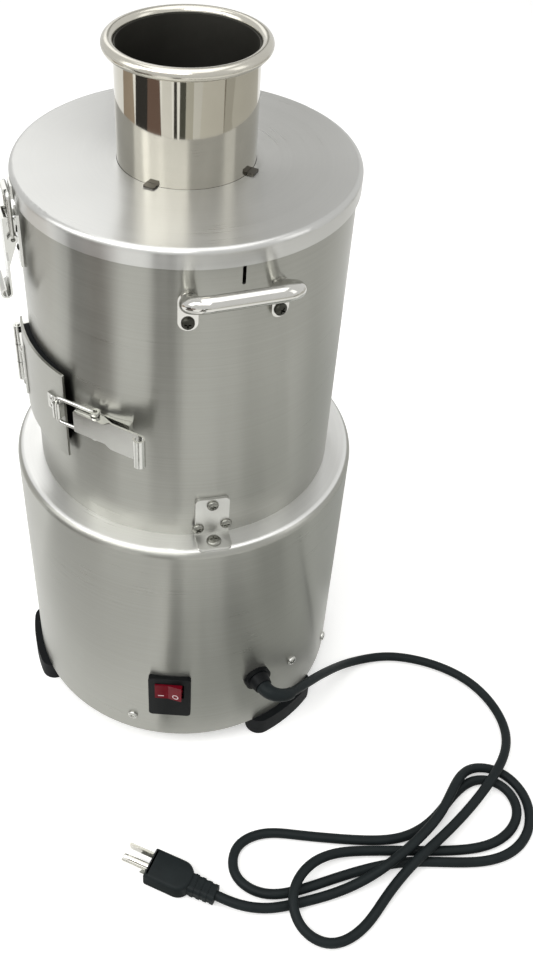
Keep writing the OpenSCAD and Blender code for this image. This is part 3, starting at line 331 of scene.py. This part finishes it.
def moulded(name, dark, light, patch, grain, relief, roughness):
    """Moulded rubber or plastic: cloudy patches, a fine grain drawn coarser than the real one, no metal."""
    material = new_material(name)
    tree = material.node_tree
    where = add(tree, "ShaderNodeTexCoord").outputs["Object"]
    cloud = add(tree, "ShaderNodeTexNoise", {"Vector": where, "Scale": 1 / patch, "Detail": 4})
    tone = add(tree, "ShaderNodeMix", {0: cloud.outputs["Fac"], 6: linear(dark), 7: linear(light)},
               data_type="RGBA")
    pores = add(tree, "ShaderNodeTexNoise", {"Vector": where, "Scale": 1 / grain, "Detail": 2})
    raised = add(tree, "ShaderNodeBump",
                 {"Height": pores.outputs["Fac"], "Strength": relief, "Distance": grain_height})
    gloss = add(tree, "ShaderNodeMapRange",
                {"Value": cloud.outputs["Fac"], "To Min": roughness - moulded_swing,
                 "To Max": roughness + moulded_swing})
    shader = add(tree, "ShaderNodeBsdfPrincipled",
                 {"Base Color": tone.outputs[2], "Roughness": gloss.outputs[0], "Normal": raised.outputs[0],
                  "Specular IOR Level": moulded_sheen})
    add(tree, "ShaderNodeOutputMaterial", {"Surface": shader.outputs[0]})
    return material


def ease(width, *nodes):
    """Rounds the sharp edges of modelled pieces."""
    for name in nodes:
        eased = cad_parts[name].modifiers.new("eased_edges", "BEVEL")
        eased.width = width
        eased.segments = eased_steps
        eased.limit_method = "ANGLE"
        eased.angle_limit = eased_from


# Moulded rubber is nearly black and dull, with a paler bloom in patches.
rubber = moulded("moulded_black_rubber", foot_black, foot_bloom, patch=0.008, grain=0.0012, relief=0.3,
                 roughness=0.62)
dress(rubber, "rubber_feet")

# Screws. Zinc-plated pan heads with a cross recess hold the base and the drum brackets.
# The recess is cut about half as deep as the head is high, and each screw stops at its own turn.
screw_r = 0.0037
screw_h = 0.0022
shoulder_head_r = 0.0046
head_profile = ((1, 0), (1, 0.4), (0.93, 0.66), (0.78, 0.86), (0.58, 1))
head_steps = 24
recess_arm = 0.5
recess_half = 0.13
recess_deep = 0.5
turn_step = 0.9
base_r = base_high[0]
base_bottom = base_low[2]
base_top = base_high[2]
rim_screw_azimuth = -13.9
rim_screw_turns = (0, 90, 180, 270)
rim_screw_up = 0.0167
side_screw_azimuths = (48.4, 228.4)
side_screw_up = 0.0477
drum_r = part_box("drum_shell")[1][0]
bracket_out = 0.0021
bracket_azimuths = (14.6, 134.6, 254.6)
bracket_holes = ((0, 0.027), (-0.0089, 0.008), (0.0089, 0.010))
shoulder_hole_out = 0.009
shoulder_head_up = 0.002
smear_size = 0.018
smear_smoothest = 0.7
smear_roughest = 1.4
sharp_from = math.radians(35)


def polished(name, dark, light, roughness):
    """Buffed or plated metal: faint smears in its colour and gloss."""
    material = new_material(name)
    tree = material.node_tree
    where = add(tree, "ShaderNodeTexCoord").outputs["Object"]
    smears = add(tree, "ShaderNodeTexNoise",
                 {"Vector": where, "Scale": 1 / smear_size, "Detail": 5, "Roughness": 0.6})
    tone = add(tree, "ShaderNodeMix", {0: smears.outputs["Fac"], 6: linear(dark), 7: linear(light)},
               data_type="RGBA")
    gloss = add(tree, "ShaderNodeMapRange",
                {"Value": smears.outputs["Fac"], "From Min": 0.3, "From Max": 0.7,
                 "To Min": roughness * smear_smoothest, "To Max": roughness * smear_roughest})
    shader = add(tree, "ShaderNodeBsdfPrincipled",
                 {"Base Color": tone.outputs[2], "Metallic": 1, "Roughness": gloss.outputs[0]})
    add(tree, "ShaderNodeOutputMaterial", {"Surface": shader.outputs[0]})
    return material


def piece(name, bm, material, body, slot, *nodes):
    """Turns a mesh into a finished piece that rides on a body in place of the modelled pieces named."""
    bmesh.ops.recalc_face_normals(bm, faces=bm.faces)
    mesh = bpy.data.meshes.new(name)
    bm.to_mesh(mesh)
    bm.free()
    mesh.shade_smooth()
    mesh.set_sharp_from_angle(angle=sharp_from)
    mesh.materials.append(material)
    made = bpy.data.objects.new(name, mesh)
    bpy.context.scene.collection.objects.link(made)
    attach(made, body)
    if nodes:
        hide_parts(*nodes)
    return made


def spun(bm, spots, closed, steps):
    """Joins the spots in a line or a closed outline, and spins it once round the z axis."""
    ends = spots[1:] + spots[:1] if closed else spots[1:]
    lines = [bm.edges.new(pair) for pair in zip(spots, ends)]
    bmesh.ops.spin(bm, geom=spots + lines, axis=(0, 0, 1), cent=(0, 0, 0), angle=math.tau, steps=steps,
                   use_merge=True)


def screw_heads(bm, places, head_r, head_h):
    """Adds a pan head with a cross recess at each place, its underside at the place's z = 0."""
    head = bmesh.new()
    outline = [head.verts.new((head_r * r, 0, head_h * z)) for r, z in head_profile]
    spun(head, outline, closed=False, steps=head_steps)
    rim = [edge for edge in head.edges if edge.is_boundary and edge.verts[0].co.z > head_h / 2]
    arm = head_r * recess_arm
    half = head_r * recess_half
    corner = ((half, arm), (half, half), (arm, half))
    quarters = [Matrix.Rotation(-quarter * math.pi / 2, 2) for quarter in range(4)]
    cross = [turned @ Vector(spot) for turned in quarters for spot in corner]
    spots = [head.verts.new((*spot, head_h)) for spot in cross]
    lines = [head.edges.new(pair) for pair in zip(spots, spots[1:] + spots[:1])]
    bmesh.ops.triangle_fill(head, edges=rim + lines, use_beauty=True, normal=(0, 0, 1))
    sunk = bmesh.ops.extrude_edge_only(head, edges=lines)["geom"]
    floor = [vert for vert in sunk if isinstance(vert, bmesh.types.BMVert)]
    bmesh.ops.translate(head, vec=(0, 0, -head_h * recess_deep), verts=floor)
    bmesh.ops.edgeloop_fill(head, edges=[edge for edge in head.edges if set(edge.verts) <= set(floor)])
    one = bpy.data.meshes.new("screw_head")
    head.to_mesh(one)
    head.free()
    for order, place in enumerate(places):
        driven = place @ Matrix.Rotation(order * turn_step, 4, "Z")
        one.transform(driven)
        bm.from_mesh(one)
        one.transform(driven.inverted())
    bpy.data.meshes.remove(one)


# Zinc plate on the base screws is painted a paler grey as a painted highlight, and shows sharp glints. The
# other zinc plate is a mid grey.
zinc_painted_paler = polished("zinc_steel_with_painted_highlight", "#a5a5a0", "#c2c2bd", roughness=0.22)
zinc = polished("zinc_plated_steel", "#6b6b65", "#8a8a83", roughness=0.24)
bm = bmesh.new()
base_places = [outward(rim_screw_azimuth + turn, base_r, base_bottom + rim_screw_up)
               for turn in rim_screw_turns]
base_places += [outward(azimuth, base_r, base_bottom + side_screw_up) for azimuth in side_screw_azimuths]
screw_heads(bm, base_places, screw_r, screw_h)
# The base screws take the paler zinc, which is a painted highlight.
piece("base_screw_heads", bm, zinc_painted_paler, "machine", "plated_steel", "base_screws")
bm = bmesh.new()
wall_places = [outward(azimuth, drum_r + bracket_out, base_top) @ Matrix.Translation((*hole, 0))
               for azimuth in bracket_azimuths for hole in bracket_holes]
screw_heads(bm, wall_places, screw_r, screw_h)
upright = Matrix.Rotation(math.radians(-90), 4, "X")
top_places = [outward(azimuth, drum_r + shoulder_hole_out, base_top + shoulder_head_up) @ upright
              for azimuth in bracket_azimuths]
screw_heads(bm, top_places, shoulder_head_r, screw_h)
piece("bracket_screw_heads", bm, zinc, "machine", "plated_steel", "bracket_screws")
dress(zinc, "foot_screws")

# Drum. A rolled stainless tube with a flat floor, brushed round its wall.
# Three angle brackets of sheet steel screw it to the shoulder of the base; their paler colour is a painted
# highlight.
bracket_edge = 0.0005
dress(wall_steel, "drum_shell", "drum_floor")
# The bracket sheet is painted paler than the brushed wall as a painted highlight, and blurs what it
# reflects.
bracket_sheet_painted_paler = polished("bracket_sheet_with_painted_highlight", "#bcbcb7", "#cacac6", roughness=0.4)
dress(bracket_sheet_painted_paler, "drum_brackets")
ease(bracket_edge, "drum_brackets")

# Handles. Stainless rod bent to a bow and buffed bright, with a flat foot at each end.
# Dark bolts hold the feet to the wall of the drum.
handle_azimuths = (20, 200)
handle_spread = 14.78
handle_foot_t = 0.0025
handle_bolt_z = 0.3785
# Buffed rod is nearly a mirror: long white glints with dark edges.
bright_rod = polished("buffed_stainless_rod", "#b4b3ae", "#c8c7c2", roughness=0.1)
dress(bright_rod, "front_handle", "rear_handle")
# Blacked steel is a dark warm grey with a soft shine.
dark_bolt = polished("blacked_bolt_steel", "#2e2e2b", "#45453f", roughness=0.3)
bm = bmesh.new()
bolt_azimuths = [side + spread for side in handle_azimuths for spread in (-handle_spread, handle_spread)]
bolt_places = [outward(azimuth, drum_r + handle_foot_t, handle_bolt_z) for azimuth in bolt_azimuths]
screw_heads(bm, bolt_places, screw_r, screw_h)
piece("handle_bolt_heads", bm, dark_bolt, "machine", "dark_bolt_steel", "handle_bolts")

# Discharge door. A curved panel of stainless sheet, which closes on a frame of black rubber.
# It swings on a plated hinge that is riveted to the panel and to the drum.
dress(wall_steel, "door_panel")
dress(rubber, "door_gasket")
# Bright plating is pale and smooth, with soft highlights along every fold.
plated = polished("plated_latch_steel", "#b4b4af", "#cacac6", roughness=0.2)
dress(plated, "hinge_drum_leaf", "hinge_door_leaf", "hinge_pin", "hinge_rivets")
dress(plated, "door_keeper", "door_rivets")

# Toggle latches. Plated sheet levers with folded cheeks and a rolled end, pinned to riveted bases.
# Each draws a loop of bent wire over a keeper: two hold the lid and one holds the door.
lever_edge = 0.0003
dress(plated, "latch_bases", "latch_pins", "latch_rivets", "lid_keepers")
for side in ("left", "right", "door"):
    dress(plated, side + "_lever", side + "_loop")
    ease(lever_edge, side + "_lever")

# Lid. A shallow cover spun from stainless sheet and brushed in rings.
# A ring of black rubber seals it on the edge of the drum.
# Spun sheet is paler than the wall, with rays of light across its rings.
lid_steel = brushed_steel("brushed_stainless_lid", "#b7b7b4", "#c0c0bd", brush_long, brush_fine)
dress(lid_steel, "lid_cover")
dress(rubber, "lid_seal")

# Feed hopper. A stainless tube with a rolled rim, mirror-polished outside and left dull inside.
# It stands in the hole of the lid, and four small steel tabs hold it there.
hopper_middle_r = 0.0389
rim_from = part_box("hopper")[1][2] - 0.0075
hopper_smear = 0.02
mirror_rough = 0.06
rim_rough = 0.2
dull_rough = 0.5

# Mirror polish shows what is round it in hard-edged stripes. The rim is softer, and the inside is dull,
# with painted shade darkening its colour.
hopper_steel = new_material("mirror_polished_stainless")
tree = hopper_steel.node_tree
where = add(tree, "ShaderNodeTexCoord").outputs["Object"]
height = add(tree, "ShaderNodeSeparateXYZ", {0: where}).outputs[2]
level = add(tree, "ShaderNodeVectorMath", {0: where, 1: (1, 1, 0)}, operation="MULTIPLY")
away = add(tree, "ShaderNodeVectorMath", {0: level.outputs[0]}, operation="LENGTH")
outside = add(tree, "ShaderNodeMath", {0: away.outputs["Value"], 1: hopper_middle_r},
              operation="GREATER_THAN")
smears = add(tree, "ShaderNodeTexNoise",
             {"Vector": where, "Scale": 1 / hopper_smear, "Detail": 5, "Roughness": 0.6})
bright = add(tree, "ShaderNodeMix", {0: smears.outputs["Fac"], 6: linear("#b0ada3"), 7: linear("#bebbb1")},
             data_type="RGBA")
# Painted shade: the inside of the tube takes a dark grey, as if shade falls in it.
painted_shade_inside = add(tree, "ShaderNodeMix", {0: smears.outputs["Fac"], 6: linear("#4b4a45"), 7: linear("#5c5b55")},
           data_type="RGBA")
tone = add(tree, "ShaderNodeMix", {0: outside.outputs[0], 6: painted_shade_inside.outputs[2], 7: bright.outputs[2]},
           data_type="RGBA")
rim = add(tree, "ShaderNodeMath", {0: height, 1: rim_from}, operation="GREATER_THAN")
rim_gloss_and_painted_shoulder_light = add(tree, "ShaderNodeMapRange",
             {"Value": rim.outputs[0], "To Min": mirror_rough, "To Max": rim_rough})
gloss = add(tree, "ShaderNodeMapRange",
            {"Value": outside.outputs[0], "To Min": dull_rough, "To Max": rim_gloss_and_painted_shoulder_light.outputs[0]})
shader = add(tree, "ShaderNodeBsdfPrincipled",
             {"Base Color": tone.outputs[2], "Metallic": 1, "Roughness": gloss.outputs[0]})
add(tree, "ShaderNodeOutputMaterial", {"Surface": shader.outputs[0]})
dress(hopper_steel, "hopper")
# The tabs are steel painted a dark brownish grey as painted shade, with a soft shine.
painted_shade_tabs = polished("tab_steel_painted_shade", "#45433e", "#5c5953", roughness=0.35)
dress(painted_shade_tabs, "hopper_clips")

# Switch. A black moulded housing snapped into the base, with a clear red rocker that rocks sideways.
# The rocker carries the usual dash and ring, printed near its lower edge.
switch_z = 0.0735
rocker_sunk = 0.002
rocker_rest = math.radians(-7)
rocker_slope = math.radians(7.2)
housing_edge = 0.0009
rocker_edge = 0.0006
mark_out = 0.0066
dash_at = (-0.0052, -0.0044, mark_out)
dash_size = (0.0042, 0.0008, 0.0003)
ring_at = (0.0052, -0.0036, mark_out)
ring_inner = 0.0016
ring_outer = 0.0023
ring_low = -0.0001
ring_high = 0.00015
ring_steps = 32
# Moulded nylon is black with a slight gloss and a fine grain.
housing_plastic = moulded("black_moulded_nylon", "#090a0b", "#111314", patch=0.006, grain=0.0008,
                          relief=0.15, roughness=0.4)
dress(housing_plastic, "switch_housing")
ease(housing_edge, "switch_housing")
# Clear red plastic is deep and uneven in colour, with a smooth shine.
red = moulded("clear_red_polycarbonate", "#4d0513", "#780c1c", patch=0.012, grain=0.003, relief=0.02,
              roughness=0.22)
dress(red, "rocker")
ease(rocker_edge, "rocker")
# Printed ink is white with a little of the red showing through.
print_white = moulded("white_print", "#c9b0b2", "#dfcbcc", patch=0.002, grain=0.0005, relief=0.1,
                      roughness=0.5)
rocker_middle = outward(0, base_r, switch_z) @ Matrix.Translation((0, 0, -rocker_sunk))
rocker_middle = rocker_middle @ Matrix.Rotation(rocker_rest, 4, "Y")
bm = bmesh.new()
ring_profile = ((ring_inner, ring_low), (ring_outer, ring_low), (ring_outer, ring_high),
                (ring_inner, ring_high))
spun(bm, [bm.verts.new((r, 0, z)) for r, z in ring_profile], closed=True, steps=ring_steps)
right_face = rocker_middle @ Matrix.Translation(ring_at) @ Matrix.Rotation(-rocker_slope, 4, "Y")
bmesh.ops.transform(bm, matrix=right_face, verts=bm.verts)
left_face = rocker_middle @ Matrix.Translation(dash_at) @ Matrix.Rotation(rocker_slope, 4, "Y")
bmesh.ops.create_cube(bm, size=1, matrix=left_face @ Matrix.Diagonal((*dash_size, 1)))
piece("rocker_marks", bm, print_white, "rocker_body", "red_plastic")

# Motor. A painted steel housing between two cast covers, tied by long bolts.
# It hangs on posts under the top of the base, and its capacitor stands beside it in a strap.
# Motor paint is a dark blue grey, with a slight orange-peel skin.
paint = moulded("grey_motor_paint", "#3c454b", "#49525a", patch=0.02, grain=0.002, relief=0.15,
                roughness=0.45)
dress(paint, "motor_housing")
# Cast aluminium is a pale matt grey.
cast = polished("cast_aluminium", "#8f9192", "#a4a6a7", roughness=0.5)
dress(cast, "motor_top_cover", "motor_bottom_cover")
# Varnished plates and windings are a warm copper brown.
iron = polished("varnished_iron_and_copper", "#5d3f2b", "#8a5a36", roughness=0.42)
dress(iron, "motor_stator", "motor_core")
# Turned steel is a plain mid grey with a clean shine.
turned_steel = polished("turned_motor_steel", "#8b8b88", "#a0a09c", roughness=0.28)
dress(turned_steel, "motor_bearings", "motor_bolts", "motor_posts", "capacitor_strap", "motor_shaft")
# The plastic case of a capacitor is creamy white with a satin skin.
case = moulded("pale_capacitor_plastic", "#cfccc2", "#dedbd2", patch=0.015, grain=0.001, relief=0.1,
               roughness=0.4)
dress(case, "capacitor")

# Rotor. A turned stainless disc with moulded rubber paddles, which rub the skins off.
# A plated nut holds it on the shaft of the motor, above a rubber seal.
disc_line_long = 0.1
disc_line_fine = 0.0008
# A turned disc shows finer rings than the brushed wall, in a paler grey.
disc_steel = brushed_steel("turned_disc_stainless", "#96958f", "#aeada8", disc_line_long, disc_line_fine)
dress(disc_steel, "peeling_disc")
dress(rubber, "peeling_paddles", "shaft_seal")
dress(zinc, "rotor_nut")

# Cable gland. A moulded nylon gland, screwed through the wall of the base with its nut inside.
# A tapered boot of soft PVC guides the cord out of it and down.
gland_azimuth = 32
gland_mouth_r = 0.125
gland_z = 0.07
boot_r0 = 0.0056
boot_r1 = 0.0043
boot_lead = 0.009
boot_end = Vector((0.086, -0.105, 0.063))
boot_ahead = Vector((0.097, -0.09, 0.054))
boot_rings = 24
boot_round = 6
dress(housing_plastic, "cable_gland", "gland_nut")
# Black PVC is a cool dark grey where the light falls on it, and dull all over.
pvc = moulded("black_pvc", "#161a1b", "#212728", patch=0.012, grain=0.0009, relief=0.25, roughness=0.46)


def tube_of(name, kind, points, radius, roundness, node, end_share=1, **settings):
    """A closed tube of PVC along the points, which rides on the machine in place of a modelled piece.

    It tapers evenly to a share of its radius at its far end. The settings are those of its spline."""
    line = bpy.data.curves.new(name, "CURVE")
    line.dimensions = "3D"
    line.bevel_depth = radius
    line.bevel_resolution = roundness
    line.use_fill_caps = True
    run = line.splines.new(kind)
    run.points.add(len(points) - 1)
    for ring, (spot, point) in enumerate(zip(run.points, points)):
        spot.co = (*point, 1)
        spot.radius = 1 + (end_share - 1) * ring / (len(points) - 1)
    for setting, value in settings.items():
        setattr(run, setting, value)
    line.materials.append(pvc)
    made = bpy.data.objects.new(name, line)
    bpy.context.scene.collection.objects.link(made)
    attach(made, "machine")
    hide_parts(node)
    return made


gland_face = outward(gland_azimuth, gland_mouth_r, gland_z)
boot_turn = (boot_ahead - boot_end).normalized()
boot_path = geometry.interpolate_bezier(gland_face.translation, gland_face @ Vector((0, 0, boot_lead)),
                                        boot_end - boot_lead * boot_turn, boot_end, boot_rings)
boot = tube_of("cord_boot", "POLY", boot_path, boot_r0, boot_round, "cord_relief",
               end_share=boot_r1 / boot_r0)

# Plug. A flat black PVC plug moulded on the cord, with two plated blades and a round earth pin.
# Its body has a square face and round shoulders that are tucked into the ribbed relief.
plug_long = 0.03
plug_tuck = 0.0018
plug_wide = 0.0224
plug_high = 0.014
plug_shoulder = 0.0098
plug_corner = 0.0012
plug_edge = 0.0028
relief_long = 0.0194
relief_edge = 0.0002
plug_at = Vector((0.0414, -0.2314, 0.007))
plug_ahead = Vector((-0.0158, 0.0059))
plug_turn = math.atan2(plug_ahead.y, plug_ahead.x)


def round_edges(bm, edges, radius, segments):
    """Rounds these edges of a mesh."""
    bmesh.ops.bevel(bm, geom=edges, offset=radius, offset_type="OFFSET", affect="EDGES", segments=segments,
                    profile=0.5, material=-1)


bm = bmesh.new()
bmesh.ops.create_cube(bm, size=1)
bmesh.ops.scale(bm, vec=(plug_long + plug_tuck, plug_wide, plug_high), verts=bm.verts)
upright_edges = [edge for edge in bm.edges if edge.verts[0].co.xy == edge.verts[1].co.xy]
shoulders = [edge for edge in upright_edges if edge.verts[0].co.x < 0]
corners = [edge for edge in upright_edges if edge.verts[0].co.x > 0]
round_edges(bm, shoulders, plug_shoulder, segments=10)
round_edges(bm, [edge for edge in corners if edge.is_valid], plug_corner, segments=3)
rims = [edge for edge in bm.edges if edge.verts[0].co.z == edge.verts[1].co.z]
round_edges(bm, rims, plug_edge, segments=4)
plug_middle = Matrix.Translation((relief_long + (plug_long - plug_tuck) / 2, 0, 0))
plug_place = Matrix.Translation(plug_at) @ Matrix.Rotation(plug_turn, 4, "Z") @ plug_middle
bmesh.ops.transform(bm, matrix=plug_place, verts=bm.verts)
plug = piece("plug_moulding", bm, pvc, "machine", "cord_pvc", "plug_body")
dress(pvc, "plug_relief")
ease(relief_edge, "plug_relief")
# Nickel plate is bright and silvery, with the faintest yellow.
nickel = polished("nickel_plated_brass", "#e0ded8", "#efeeea", roughness=0.16)
dress(nickel, "plug_prongs")

# Power cord. A round three-core mains lead in matt black PVC, extruded over its cores.
# It leaves the gland's boot, drops to the floor and lies there in loose loops up to the plug.
cord_thick = 0.0068
cord_round = 5
cord_points = [
    (0.086, -0.105, 0.063), (0.097, -0.09, 0.054), (0.108, -0.073, 0.042), (0.119, -0.056, 0.028),
    (0.13, -0.04, 0.014), (0.144, -0.027, 0.004), (0.166, -0.02, 0.0034), (0.189, -0.0215, 0.0034),
    (0.212, -0.028, 0.0034), (0.233, -0.0405, 0.0034), (0.248, -0.0605, 0.0034), (0.255, -0.083, 0.004),
    (0.2505, -0.107, 0.01), (0.2385, -0.129, 0.013), (0.22, -0.154, 0.012), (0.197, -0.179, 0.0115),
    (0.1735, -0.201, 0.0115), (0.155, -0.223, 0.006), (0.142, -0.2445, 0.0034), (0.119, -0.2605, 0.0034),
    (0.096, -0.2505, 0.007), (0.09, -0.2285, 0.014), (0.102, -0.2075, 0.013), (0.121, -0.194, 0.0065),
    (0.146, -0.1895, 0.0034), (0.174, -0.1875, 0.0034), (0.203, -0.1855, 0.0034), (0.23, -0.1805, 0.0034),
    (0.249, -0.1665, 0.0034), (0.256, -0.147, 0.0034), (0.246, -0.129, 0.0034), (0.226, -0.1255, 0.0034),
    (0.209, -0.14, 0.0034), (0.1935, -0.1635, 0.0034), (0.171, -0.1795, 0.0034), (0.144, -0.1825, 0.0034),
    (0.119, -0.1825, 0.0034), (0.095, -0.182, 0.0034), (0.0725, -0.1805, 0.0034), (0.0507, -0.192, 0.0034),
    (0.0507, -0.217, 0.0034), (0.0725, -0.2285, 0.0034), (0.0945, -0.2235, 0.0034), (0.118, -0.213, 0.0034),
    (0.144, -0.2025, 0.0034), (0.171, -0.195, 0.0034), (0.2, -0.194, 0.0034), (0.228, -0.192, 0.0034),
    (0.25, -0.1815, 0.0034), (0.263, -0.161, 0.0034), (0.262, -0.136, 0.0034), (0.246, -0.1175, 0.0034),
    (0.222, -0.1175, 0.005), (0.209, -0.137, 0.013), (0.199, -0.16, 0.0145), (0.184, -0.179, 0.0145),
    (0.166, -0.1965, 0.013), (0.144, -0.2125, 0.008), (0.121, -0.223, 0.004), (0.098, -0.2305, 0.0034),
    (0.0775, -0.237, 0.0036), (0.0572, -0.2373, 0.0066), (0.0414, -0.2314, 0.007)]

# Each end point stands three times so that the smooth curve reaches it.
held_points = cord_points[:1] * 2 + cord_points + cord_points[-1:] * 2
cord = tube_of("power_lead", "NURBS", held_points, cord_thick / 2, cord_round, "power_cord",
               order_u=4, use_endpoint_u=False, resolution_u=8)
